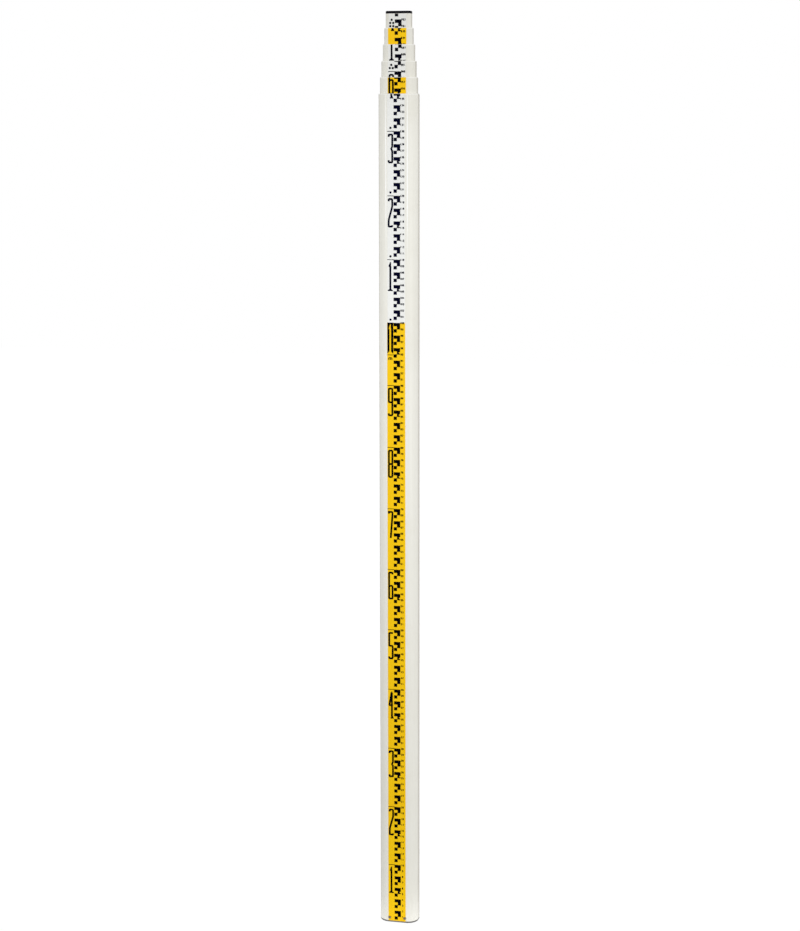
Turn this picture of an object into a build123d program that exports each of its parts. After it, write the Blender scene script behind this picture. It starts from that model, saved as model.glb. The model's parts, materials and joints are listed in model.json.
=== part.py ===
from build123d import *
import os

# Leveling staff with telescoping sections, closed. Millimetres, Z up.
# The origin is the middle of the foot's underside, which is the zero of the scale.
# The graduated front faces -Y. Section 1 is the outermost tube.

# Plan of the outermost tube: flat front and back, flat sides, round corners
FRONT_FLAT = 28.5
SIDE_FLAT = 7.0
CORNER_RADIUS = 17.5
LEAST_RADIUS = 0.5

# Nesting
SECTION_COUNT = 6
WALL = 1.6
SLIDE_GAP = 0.7
GUIDE_CLEARANCE = 0.3
FIT_GAP = 0.1
FASTENER_GAP = 0.05

# Heights
TUBE_LENGTH = 1355.5
CLOSED_STEP = 25.2
COLLAR_HEIGHT = 6.0
END_CHAMFER = 0.4
# Length of each sliding section that stays inside the next larger one when it is locked out
OVERLAPS = {2: 136.0, 3: 116.5, 4: 96.5, 5: 75.5, 6: 78.3}

# Foot plate and its countersunk screws
PLATE_THICKNESS = 2.5
PLATE_CHAMFER = 0.5
SCREW_EDGE = 11.75
SCREW_SHANK_RADIUS = 2.0
SCREW_HEAD_RADIUS = 3.8
SCREW_HEAD_ANGLE = 90
SCREW_LENGTH = 14.0
SCREW_SUNK = 0.2
SCREW_SLOT_WIDTH = 1.0
SCREW_SLOT_DEPTH = 1.0

# Rivets that hold the foot plug
RIVET_EDGE = 1.35
RIVET_RISE = 5.4
RIVET_SHANK_RADIUS = 1.6
RIVET_HEAD_RADIUS = 2.4
RIVET_HEAD_HEIGHT = 1.1
RIVET_HEAD_ROUND = 0.9
RIVET_GRIP = 6.0
RIVET_DIMPLE_RADIUS = 0.8
RIVET_DIMPLE_DEPTH = 0.6

# Graduated strip on the flat front
SCALE_MARGIN = 0.1
SCALE_THICKNESS = 0.15
SCALE_TUCK = 6.0

# Plugs and the pins that hold them
VENT_RADIUS = 2.25
VENT_WEB = 2.0
PIN_RADIUS = 1.5
PIN_GRIP = 4.0
PIN_SUNK = 0.1

# Lock button: how far its nose stands out of its own tube pressed in, and out of the next one locked
NOSE_RADIUS = 4.5
NOSE_PRESSED = 0.1
NOSE_LOCKED = 0.2
NOSE_DOME_RADIUS = 16.0
FLANGE_LIP = 1.5
FLANGE_THICKNESS = 2.0
BUTTON_STOP_GAP = 0.05
BUTTON_CLEARANCE = 0.2
LOCK_HOLE_CLEARANCE = 0.3
LOCK_HOLE_CHAMFER = 0.6
LOCK_HOLE_ANGLE = 90

# Spring behind the button
SEAT_WALL = 2.5
SPRING_RADIUS = 3.0
SPRING_WIRE_RADIUS = 0.35
SPRING_TURNS = 4.5
SPRING_CLEARANCE = 0.35
SPRING_SEAT_GAP = 0.05
CUP_FLOOR = 0.8

# Top cap, and how much shorter than the others the innermost tube is under it
CAP_SETBACK = 3.2
CAP_FLANGE = 3.9
CAP_EDGE_RADIUS = 1.2
CAP_PLUG_DEPTH = 15.0
CAP_WALL = 2.0

# Worked out from the driving dimensions
SECTIONS = range(1, SECTION_COUNT + 1)
SLIDING = range(2, SECTION_COUNT + 1)
WIDTH = FRONT_FLAT + 2 * CORNER_RADIUS
DEPTH = SIDE_FLAT + 2 * CORNER_RADIUS
INSERT_HEIGHT = CLOSED_STEP - COLLAR_HEIGHT
BUTTON_HEIGHT = INSERT_HEIGHT / 2
BUTTON_TRAVEL = SLIDE_GAP + WALL + NOSE_LOCKED - NOSE_PRESSED
FLANGE_RADIUS = NOSE_RADIUS + FLANGE_LIP
BORE_RADIUS = FLANGE_RADIUS + BUTTON_CLEARANCE
THROUGH_WALL = WALL + SLIDE_GAP
VENT_SPACING = 2 * (BORE_RADIUS + VENT_WEB + VENT_RADIUS)
SCALE_WIDTH = FRONT_FLAT - 2 * SCALE_MARGIN
RIVET_SPACING = FRONT_FLAT - 2 * RIVET_EDGE
RIVET_HEIGHT = PLATE_THICKNESS + RIVET_RISE
SCREW_SPACING = WIDTH - 2 * SCREW_EDGE
SCREW_HEAD_HEIGHT = SCREW_HEAD_RADIUS - SCREW_SHANK_RADIUS
SCREW_SINK_RADIUS = SCREW_HEAD_RADIUS + SCREW_SUNK + FASTENER_GAP
UNDERSIDE = Plane(origin=(0, 0, 0), x_dir=(1, 0, 0), z_dir=(0, 0, -1))


def inset(number):
    """Distance from the outermost tube's outside to this section's outside."""
    return (number - 1) * (WALL + SLIDE_GAP)


def half_depth(number):
    return DEPTH / 2 - inset(number)


def half_width(number):
    return WIDTH / 2 - inset(number)


def tube_bottom(number):
    return PLATE_THICKNESS + (number - 1) * CLOSED_STEP


def tube_top(number):
    setback = CAP_SETBACK if number == SECTION_COUNT else 0
    return tube_bottom(number) + TUBE_LENGTH - setback


def travel(number):
    """How far a section slides out before its button locks."""
    length = tube_top(number) - tube_bottom(number)
    shown_closed = tube_top(number) - tube_top(number - 1)
    return length - OVERLAPS[number] - shown_closed


def button_z(number):
    return tube_bottom(number) + BUTTON_HEIGHT


def front_plane(number, z):
    """Plane on a section's front face, looking out of it, with its own Y upwards."""
    return Plane(origin=(0, -half_depth(number), z), x_dir=(1, 0, 0), z_dir=(0, -1, 0))


def back_plane(number, z):
    """Plane on a section's back face, looking out of it, with its own Y upwards."""
    return Plane(origin=(0, half_depth(number), z), x_dir=(-1, 0, 0), z_dir=(0, 1, 0))


def side_planes(number, z):
    """Planes on a section's two narrow sides, looking out of them."""
    x = half_width(number)
    right = Plane(origin=(x, 0, z), x_dir=(0, 1, 0), z_dir=(1, 0, 0))
    left = Plane(origin=(-x, 0, z), x_dir=(0, -1, 0), z_dir=(-1, 0, 0))
    return right, left


# Depth of a button's bore, from the inside of the tube's back wall: what the innermost tube has room for
BORE_DEPTH = 2 * (half_depth(SECTION_COUNT) - WALL) - FIT_GAP - SEAT_WALL

# A pressed button's levels, measured outwards from the back face of its own tube
BORE_BOTTOM = -WALL - BORE_DEPTH
FLANGE_BACK = -WALL - BUTTON_STOP_GAP - BUTTON_TRAVEL
FLANGE_FRONT = FLANGE_BACK - FLANGE_THICKNESS
CUP_BOTTOM = FLANGE_BACK - CUP_FLOOR


def oval(inwards, mode=Mode.ADD):
    """Outline of the outermost tube, moved inwards, drawn in the sketch that is open."""
    radius = max(CORNER_RADIUS - inwards, LEAST_RADIUS)
    RectangleRounded(WIDTH - 2 * inwards, DEPTH - 2 * inwards, radius, mode=mode)


def write_piece(builder, name):
    """Label a finished piece and write it."""
    builder.part.label = name
    export_step(builder.part, f"parts/{name}.step")


def make_tube(number):
    with BuildPart() as tube:
        with BuildSketch(Plane.XY.offset(tube_bottom(number))):
            oval(inset(number))
            oval(inset(number) + WALL, mode=Mode.SUBTRACT)
        extrude(amount=tube_top(number) - tube_bottom(number))
        rim = tube.faces().sort_by(Axis.Z)[-1].outer_wire().edges()
        chamfer(rim, END_CHAMFER)
        if number < SECTION_COUNT:
            # Storage hole low down and lock hole near the top for the next section's button
            stored = button_z(number + 1)
            locked = stored + travel(number + 1)
            hole_radius = NOSE_RADIUS + LOCK_HOLE_CLEARANCE
            rim_radius = hole_radius + LOCK_HOLE_CHAMFER
            for z in (stored, locked):
                with Locations(back_plane(number, z).location):
                    CounterSinkHole(hole_radius, rim_radius, THROUGH_WALL, LOCK_HOLE_ANGLE)
        if number == 1:
            for plane in (front_plane(number, RIVET_HEIGHT), back_plane(number, RIVET_HEIGHT)):
                with Locations(plane.location):
                    with GridLocations(RIVET_SPACING, 0, 2, 1):
                        Hole(RIVET_SHANK_RADIUS + FASTENER_GAP, THROUGH_WALL)
        else:
            with Locations(back_plane(number, button_z(number)).location):
                Hole(NOSE_RADIUS + BUTTON_CLEARANCE, THROUGH_WALL)
            for plane in side_planes(number, button_z(number)):
                with Locations(plane.location):
                    Hole(PIN_RADIUS + FASTENER_GAP, THROUGH_WALL)
    write_piece(tube, f"section_{number}_tube")


def make_scale(number):
    """Printed strip on the part of the front that shows when the section is out, and a little below."""
    bottom = tube_bottom(number)
    if number in OVERLAPS:
        bottom += OVERLAPS[number] - SCALE_TUCK
    top = tube_top(number) - END_CHAMFER
    with BuildPart() as strip:
        with BuildSketch(front_plane(number, (bottom + top) / 2)):
            Rectangle(SCALE_WIDTH, top - bottom)
        extrude(amount=SCALE_THICKNESS)
        if number == 1:
            with Locations(front_plane(number, RIVET_HEIGHT).offset(SCALE_THICKNESS).location):
                with GridLocations(RIVET_SPACING, 0, 2, 1):
                    Hole(RIVET_SHANK_RADIUS + FASTENER_GAP, 2 * SCALE_THICKNESS)
    write_piece(strip, f"section_{number}_scale")


def make_plug(number):
    """Insert inside the tube's lower end, on a collar that guides it in the next larger tube."""
    with BuildPart() as plug:
        with BuildSketch(Plane.XY.offset(tube_bottom(number) - COLLAR_HEIGHT)):
            oval(inset(number) - SLIDE_GAP + GUIDE_CLEARANCE)
        extrude(amount=COLLAR_HEIGHT)
        chamfer(plug.faces().sort_by(Axis.Z)[0].edges(), END_CHAMFER)
        with BuildSketch(Plane.XY.offset(tube_bottom(number))):
            oval(inset(number) + WALL + FIT_GAP)
        extrude(amount=INSERT_HEIGHT)
        with Locations(back_plane(number, button_z(number)).location):
            Hole(BORE_RADIUS, WALL + BORE_DEPTH)
        with Locations(Plane.XY.offset(tube_bottom(number) + INSERT_HEIGHT).location):
            with GridLocations(VENT_SPACING, 0, 2, 1):
                Hole(VENT_RADIUS, CLOSED_STEP)
        for plane in side_planes(number, button_z(number)):
            with Locations(plane.location):
                Hole(PIN_RADIUS + FASTENER_GAP, WALL + PIN_GRIP)
    write_piece(plug, f"section_{number}_plug")


def make_pins(number):
    """Two pins through the narrow sides of the tube into its plug, a little below the surface."""
    with BuildPart() as pins:
        for plane in side_planes(number, button_z(number)):
            with BuildSketch(plane.offset(-WALL - PIN_GRIP)):
                Circle(PIN_RADIUS)
            extrude(amount=WALL + PIN_GRIP - PIN_SUNK)
    write_piece(pins, f"section_{number}_pins")


def make_button(number):
    """Flanged button, pressed in, with a domed nose and a cup for its spring."""
    face = back_plane(number, button_z(number))
    with BuildPart() as button:
        with BuildSketch(face.offset(FLANGE_FRONT)):
            Circle(FLANGE_RADIUS)
        extrude(amount=FLANGE_THICKNESS)
        with BuildSketch(face.offset(FLANGE_BACK)):
            Circle(NOSE_RADIUS)
        extrude(amount=NOSE_PRESSED - FLANGE_BACK)
        with Locations(face.offset(NOSE_PRESSED - NOSE_DOME_RADIUS).location):
            Sphere(NOSE_DOME_RADIUS, mode=Mode.INTERSECT)
        with BuildSketch(face.offset(FLANGE_FRONT)):
            Circle(SPRING_RADIUS + SPRING_WIRE_RADIUS + SPRING_CLEARANCE)
        extrude(amount=CUP_BOTTOM - FLANGE_FRONT, mode=Mode.SUBTRACT)
    write_piece(button, f"section_{number}_lock_button")


def make_spring(number):
    """Coil between the bottom of the plug's bore and the button's cup."""
    end_gap = SPRING_WIRE_RADIUS + SPRING_SEAT_GAP
    length = CUP_BOTTOM - BORE_BOTTOM - 2 * end_gap
    seat = back_plane(number, button_z(number)).offset(BORE_BOTTOM + end_gap)
    with BuildPart() as spring:
        with BuildLine() as coil:
            Helix(length / SPRING_TURNS, length, SPRING_RADIUS, seat.origin, seat.z_dir)
        with BuildSketch(Plane(origin=coil.line @ 0, z_dir=coil.line % 0)):
            Circle(SPRING_WIRE_RADIUS)
        sweep(path=coil.line, is_frenet=True)
    write_piece(spring, f"section_{number}_lock_spring")


def make_foot_plug():
    """Block in the lower end of section 1, as high as the other plugs' inserts."""
    with BuildPart() as plug:
        with BuildSketch(Plane.XY.offset(tube_bottom(1))):
            oval(WALL + FIT_GAP)
        extrude(amount=INSERT_HEIGHT)
        with Locations(Plane.XY.offset(tube_bottom(1) + INSERT_HEIGHT).location):
            with GridLocations(VENT_SPACING, 0, 2, 1):
                Hole(VENT_RADIUS, INSERT_HEIGHT)
        for plane in (front_plane(1, RIVET_HEIGHT), back_plane(1, RIVET_HEIGHT)):
            with Locations(plane.location):
                with GridLocations(RIVET_SPACING, 0, 2, 1):
                    Hole(RIVET_SHANK_RADIUS + FASTENER_GAP, WALL + RIVET_GRIP)
        with Locations(UNDERSIDE.location):
            with GridLocations(SCREW_SPACING, 0, 2, 1):
                hole_radius = SCREW_SHANK_RADIUS + FASTENER_GAP
                CounterSinkHole(hole_radius, SCREW_SINK_RADIUS, SCREW_SUNK + SCREW_LENGTH, SCREW_HEAD_ANGLE)
    write_piece(plug, "foot_plug")


def make_foot_plate():
    """Wear plate of the outermost tube's outline, with drain holes under the plug's vents."""
    with BuildPart() as plate:
        with BuildSketch():
            oval(0)
        extrude(amount=PLATE_THICKNESS)
        chamfer(plate.faces().sort_by(Axis.Z)[0].edges(), PLATE_CHAMFER)
        with Locations(Plane.XY.offset(PLATE_THICKNESS).location):
            with GridLocations(VENT_SPACING, 0, 2, 1):
                Hole(VENT_RADIUS, PLATE_THICKNESS)
        with Locations(UNDERSIDE.location):
            with GridLocations(SCREW_SPACING, 0, 2, 1):
                hole_radius = SCREW_SHANK_RADIUS + FASTENER_GAP
                CounterSinkHole(hole_radius, SCREW_SINK_RADIUS, PLATE_THICKNESS, SCREW_HEAD_ANGLE)
    write_piece(plate, "foot_plate")


def make_foot_screws():
    """Countersunk screws with a cross slot, heads a little below the plate's underside."""
    with BuildPart() as screws:
        with BuildSketch(Plane.XY.offset(SCREW_SUNK)):
            with GridLocations(SCREW_SPACING, 0, 2, 1):
                Circle(SCREW_HEAD_RADIUS)
        extrude(amount=SCREW_HEAD_HEIGHT, taper=SCREW_HEAD_ANGLE / 2)
        with BuildSketch(Plane.XY.offset(SCREW_SUNK + SCREW_HEAD_HEIGHT)):
            with GridLocations(SCREW_SPACING, 0, 2, 1):
                Circle(SCREW_SHANK_RADIUS)
        extrude(amount=SCREW_LENGTH - SCREW_HEAD_HEIGHT)
        with BuildSketch(Plane.XY.offset(SCREW_SUNK)):
            with GridLocations(SCREW_SPACING, 0, 2, 1):
                Rectangle(SCREW_HEAD_RADIUS, SCREW_SLOT_WIDTH)
                Rectangle(SCREW_SLOT_WIDTH, SCREW_HEAD_RADIUS)
        extrude(amount=SCREW_SLOT_DEPTH, mode=Mode.SUBTRACT)
    write_piece(screws, "foot_screws")


def make_foot_rivets():
    """Dome-headed rivets through the front strip and through the back."""
    front = front_plane(1, RIVET_HEIGHT).offset(SCALE_THICKNESS)
    back = back_plane(1, RIVET_HEIGHT)
    grips = {front: SCALE_THICKNESS + WALL + RIVET_GRIP, back: WALL + RIVET_GRIP}
    with BuildPart() as rivets:
        for seat, grip in grips.items():
            with BuildSketch(seat):
                with GridLocations(RIVET_SPACING, 0, 2, 1):
                    Circle(RIVET_SHANK_RADIUS)
            extrude(amount=-grip)
            with BuildSketch(seat):
                with GridLocations(RIVET_SPACING, 0, 2, 1):
                    Circle(RIVET_HEAD_RADIUS)
            extrude(amount=RIVET_HEAD_HEIGHT)
        flats = rivets.faces().filter_by(Axis.Y).group_by(Axis.Y)
        for crowns in (flats[0], flats[-1]):
            fillet(crowns.edges(), min(RIVET_HEAD_ROUND, 0.9 * RIVET_HEAD_HEIGHT))
        for seat in grips:
            with Locations(seat.offset(RIVET_HEAD_HEIGHT).location):
                with GridLocations(RIVET_SPACING, 0, 2, 1):
                    Hole(RIVET_DIMPLE_RADIUS, RIVET_DIMPLE_DEPTH)
    write_piece(rivets, "foot_rivets")


def make_top_cap():
    """Cap whose flange is flush with the innermost tube, on a hollow plug inside it."""
    top = tube_top(SECTION_COUNT)
    outside = inset(SECTION_COUNT)
    inside = outside + WALL + FIT_GAP
    with BuildPart() as cap:
        with BuildSketch(Plane.XY.offset(top)):
            oval(outside)
        extrude(amount=CAP_FLANGE)
        fillet(cap.faces().sort_by(Axis.Z)[-1].edges(), CAP_EDGE_RADIUS)
        with BuildSketch(Plane.XY.offset(top - CAP_PLUG_DEPTH)):
            oval(inside)
            oval(inside + CAP_WALL, mode=Mode.SUBTRACT)
        extrude(amount=CAP_PLUG_DEPTH)
    write_piece(cap, "top_cap")


os.makedirs("parts", exist_ok=True)
for section in SECTIONS:
    make_tube(section)
    make_scale(section)
for section in SLIDING:
    make_plug(section)
    make_pins(section)
    make_button(section)
    make_spring(section)
make_foot_plug()
make_foot_plate()
make_foot_screws()
make_foot_rivets()
make_top_cap()
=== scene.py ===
"""Leveling staff of six telescoping sections, dressed for rendering.

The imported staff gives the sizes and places. This script makes smooth tube skins, the printed scale
of every section and the finishes, then stands the closed staff on a white stage.
"""
import json
import math
import bpy
from bpy.props import FloatProperty, FloatVectorProperty, IntProperty, PointerProperty
from mathutils import Color, Euler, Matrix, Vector

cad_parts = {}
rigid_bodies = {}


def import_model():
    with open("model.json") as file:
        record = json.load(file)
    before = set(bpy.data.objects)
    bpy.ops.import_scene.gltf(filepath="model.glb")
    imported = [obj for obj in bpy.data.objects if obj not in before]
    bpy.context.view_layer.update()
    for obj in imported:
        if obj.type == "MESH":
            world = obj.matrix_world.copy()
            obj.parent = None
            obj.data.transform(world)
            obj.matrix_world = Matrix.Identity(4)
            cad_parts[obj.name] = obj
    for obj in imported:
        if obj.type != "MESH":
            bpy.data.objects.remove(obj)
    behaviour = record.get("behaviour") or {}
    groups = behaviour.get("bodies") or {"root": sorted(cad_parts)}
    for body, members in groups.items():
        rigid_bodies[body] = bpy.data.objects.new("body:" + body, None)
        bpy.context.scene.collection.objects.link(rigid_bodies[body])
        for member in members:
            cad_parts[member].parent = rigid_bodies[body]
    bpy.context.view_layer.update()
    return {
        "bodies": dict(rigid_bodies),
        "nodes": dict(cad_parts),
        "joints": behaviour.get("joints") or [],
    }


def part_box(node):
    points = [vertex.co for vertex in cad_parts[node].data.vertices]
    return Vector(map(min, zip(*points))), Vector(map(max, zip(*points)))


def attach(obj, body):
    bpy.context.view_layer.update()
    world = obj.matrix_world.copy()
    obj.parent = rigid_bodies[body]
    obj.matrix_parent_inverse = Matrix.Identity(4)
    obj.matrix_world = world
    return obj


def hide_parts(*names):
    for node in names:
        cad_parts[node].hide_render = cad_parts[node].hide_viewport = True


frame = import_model()

bl_info = {
    "name": "Leveling Staff Dressing",
    "version": (1, 0, 0),
    "blender": (4, 5, 0),
    "location": "View3D > Sidebar > Staff",
    "description": "Tube skins, printed scale, finishes and stage of a telescoping leveling staff",
    "category": "Object",
}

MM = 0.001
CENTIMETRE = 0.01
DECIMETRE = 0.1
METRE = 1.0
SECTIONS = sorted(int(name.split("_")[1]) for name in frame["bodies"] if name.startswith("section_"))
TRAVELS = {joint["child"]: joint["range_m"][1] for joint in frame["joints"]}

# Facets of round shapes, and the bend from which an edge of a tube looks sharp
HOLE_FACETS = 40
RIM_FACETS = 4
EDGE_FACETS = 4
DOT_FACETS = 16
NUMERAL_FACETS = 6
SMALL_FACETS = 1
UNIT_FACETS = 2
CREASE = math.radians(30)

# The least that a mark reaches onto its strip, the line of each decimetre whose block is notched, and the
# heights of the notch in centimetres from that line
HAIR = 0.02 * MM
NOTCHED_LINE = 6
NOTCH_BOTTOM, NOTCH_POINT, NOTCH_TOP = -0.92, -0.72, -0.55

# Glyphs are joined in millimetres: where points merge, and how far crossing strokes are kept apart in depth
WELD = 0.001
LEVEL = 0.004

# Attributes for the finishes: depth below a tube's mouth, and how far the ink has faded
MOUTH = "below_mouth"
FADED = "faded"
FADED_OUTSIDE = 0.95
FADED_INSIDE = 0.3

# Finishes: mottling, relief, dust, painted shade on turned-away sides, a painted rim highlight, painted shade
# towards the top, and the reach of the painted highlight lines
STREAK_SHARE = 0.45
STREAK_DETAIL = 4.0
STREAK_FROM, STREAK_TO = 0.3, 0.7
PATCH_SHARE = 0.55
PATCH_SOFT = 0.25
PATCH_DETAIL = 6.0
PATCH_ROUGHNESS = 0.62
PATCH_DISTORTION = 0.4
RELIEF = 0.6
DUST_REACH = 0.12
DUST_GRAIN = 160.0
DUST_DETAIL = 6.0
# Painted shade: the sides that turn away from view are mixed towards a darker colour
SIDE_SHADE_BLEND = 0.5
SIDE_SHADE_FROM, SIDE_SHADE_TO = 0.58, 0.8
# Painted highlight: a lighter band along each tube's mouth
HIGHLIGHT_RIM = 2 * MM
HIGHLIGHT_RIM_SHARE = 0.4
# Painted shade: darker towards the top of the staff
TOP_SHADE_FROM, TOP_SHADE_TO = 1.27, 1.48
# Painted highlight lines: share of their reach where they are whitest
HIGHLIGHT_FULL_SHARE = 0.28

# Colour sockets of a Mix node, whose names repeat
MIX_FIRST, MIX_SECOND, MIX_RESULT = 6, 7, 2

# Floor and camera
FLOOR_DROP = 0.2 * MM
FLOOR_GREY = 0.2
FLOOR_GLOW = 1.14
FLOOR_WHITE = 0.86
SENSOR = 36.0

# Numerals as strokes. A point is (across, up, rounding) in shares of the stroke's own box, and a path that
# comes back to its first point is a closed loop.
WAIST = 0.49
NUMERAL_STROKES = {
    1: [[(0.46, 0, 0), (0.46, 0.88, 0)]],
    2: [[(0, 0.92, 0), (0, 1, 0.2), (1, 1, 0.3), (1, 0.72, 3.0), (0, 0.24, 3.0), (0, 0, 0.15), (1, 0, 0.2),
         (1, 0.05, 0)]],
    3: [[(0, 0.92, 0), (0, 1, 0.2), (1, 1, 0.2), (1, 0.57, 0), (0.72, WAIST, 0), (1, 0.41, 0), (1, 0, 0.2),
         (0, 0, 0.2), (0, 0.08, 0)]],
    4: [[(0.74, 0, 0), (0.74, 1, 0)], [(0.64, 1, 0), (0, WAIST, 0)], [(-0.12, WAIST, 0), (1.05, WAIST, 0)]],
    5: [[(1.1, 0.99, 0), (0, 0.99, 0)], [(0, 1, 0), (0, WAIST, 0.15), (1, WAIST, 0.25), (1, 0, 0.25),
         (0, 0, 0.2), (0, 0.07, 0)]],
    6: [[(1, 0.93, 0), (1, 1, 0.25), (0, 1, 0.25), (0, 0, 0.25), (1, 0, 0.25), (1, WAIST, 0.25),
         (0, WAIST, 0)]],
    7: [[(0, 0.93, 0), (0, 1, 0.2), (1, 1, 0.25), (1, 0.87, 1.5), (0.5, 0, 0)]],
    8: [[(0, WAIST, 0.3), (0, 1, 0.3), (1, 1, 0.3), (1, WAIST, 0.3), (0, WAIST, 0)],
        [(0, 0, 0.3), (0, WAIST, 0.3), (1, WAIST, 0.3), (1, 0, 0.3), (0, 0, 0)]],
    9: [[(1, WAIST, 0), (0, WAIST, 0.25), (0, 1, 0.25), (1, 1, 0.25), (1, 0, 0.25), (0, 0, 0.2),
         (0, 0.07, 0)]],
}

# Flags, serifs and spurs of the large numerals as outlines, in shares of the whole numeral's box
NUMERAL_WEDGES = {
    1: [[(0.60, 1), (0.44, 1), (0.15, 0.87), (0.15, 0.845), (0.32, 0.82), (0.60, 0.82)],
        [(0.00, 0), (0.92, 0), (0.92, 0.030), (0.60, 0.075), (0.32, 0.075), (0.00, 0.030)]],
    4: [[(0.58, 1), (0.70, 1), (0.70, 0.62), (0.36, 0.66)],
        [(0.38, 0), (1.0, 0), (1.0, 0.016), (0.84, 0.10), (0.58, 0.10), (0.38, 0.016)]],
    7: [[(0, 1), (0.42, 1), (0.30, 0.955), (0.28, 0.90), (0, 0.90)]],
}

SMALL_STROKES = {
    0: [[(0, 0, 0.4), (0, 1, 0.4), (1, 1, 0.4), (1, 0, 0.4), (0, 0, 0)]],
    1: [[(0.2, 0.82, 0), (0.6, 1, 0), (0.6, 0, 0)]],
    2: [[(0, 1, 0), (1, 1, 0.4), (1, 0.6, 0.4), (0, 0, 0), (1, 0, 0)]],
    3: [[(0, 1, 0), (1, 1, 0.4), (1, 0, 0.4), (0, 0, 0)], [(0.3, 0.5, 0), (1, 0.5, 0)]],
    4: [[(0.7, 0, 0), (0.7, 1, 0)], [(0.7, 1, 0), (0, 0.3, 0)], [(0, 0.3, 0), (1.1, 0.3, 0)]],
    5: [[(1, 1, 0), (0, 1, 0.1), (0, 0.56, 0.1), (1, 0.56, 0.4), (1, 0, 0.4), (0, 0, 0)]],
    6: [[(1, 1, 0), (0, 1, 0.4), (0, 0, 0.4), (1, 0, 0.4), (1, 0.54, 0.4), (0, 0.54, 0)]],
    7: [[(0, 1, 0), (1, 1, 0.1), (0.4, 0, 0)]],
    8: [[(0, 0, 0.4), (0, 1, 0.4), (1, 1, 0.4), (1, 0, 0.4), (0, 0, 0)], [(0, 0.52, 0), (1, 0.52, 0)]],
    9: [[(1, 0.46, 0), (0, 0.46, 0.4), (0, 1, 0.4), (1, 1, 0.4), (1, 0, 0.4), (0, 0, 0)]],
}
UNIT_STROKES = [[(0, 0, 0), (0, 1, 0.2), (0.5, 1, 0.2), (0.5, 0, 0)], [(0.4, 1, 0), (1, 1, 0.2), (1, 0, 0)]]


def setting(name, description, default, unit="NONE"):
    """A number that the user can change."""
    return FloatProperty(name=name, description=description, default=default, unit=unit, precision=5)


def length(name, description, millimetres):
    """A length that the user can change."""
    return setting(name, description, millimetres * MM, "LENGTH")


def angle(name, description, degrees):
    """An angle that the user can change."""
    return setting(name, description, math.radians(degrees), "ROTATION")


def power(name, description, watts):
    """The power of a lamp that the user can change."""
    return setting(name, description, watts, "POWER")


def tint(name, description, *shown):
    """A colour that the user can change, given as it looks on a screen, from 0 to 255."""
    return FloatVectorProperty(name=name, description=description, default=[part / 255 for part in shown],
                               subtype="COLOR_GAMMA", min=0, max=1)


class StaffTubeSizes(bpy.types.PropertyGroup):
    """Sizes of the tubes that their boxes don't give."""

    wall: length("Wall", "Thickness of every tube", 1.6)
    corner: length("Corner", "Outer corner radius of the largest tube", 17.5)
    rim: length("Rim rounding", "Rounding of the tubes' ends", 0.4)
    lock_hole: length("Lock hole", "Radius of the holes that the next section's button springs into", 4.8)
    lock_flare: length("Lock hole flare", "Bevel around those holes", 0.6)
    button_hole: length("Button hole", "Radius of the hole for the section's own button", 4.7)
    pin_hole: length("Pin hole", "Radius of the holes for the plug's pins", 1.55)
    rivet_hole: length("Rivet hole", "Radius of the holes for the foot's rivets", 1.65)
    rivet_head: length("Rivet head", "Radius of a rivet's head", 2.4)
    corner_steps: IntProperty(name="Corner steps", description="Facets in each corner", default=20, min=4)


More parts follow.
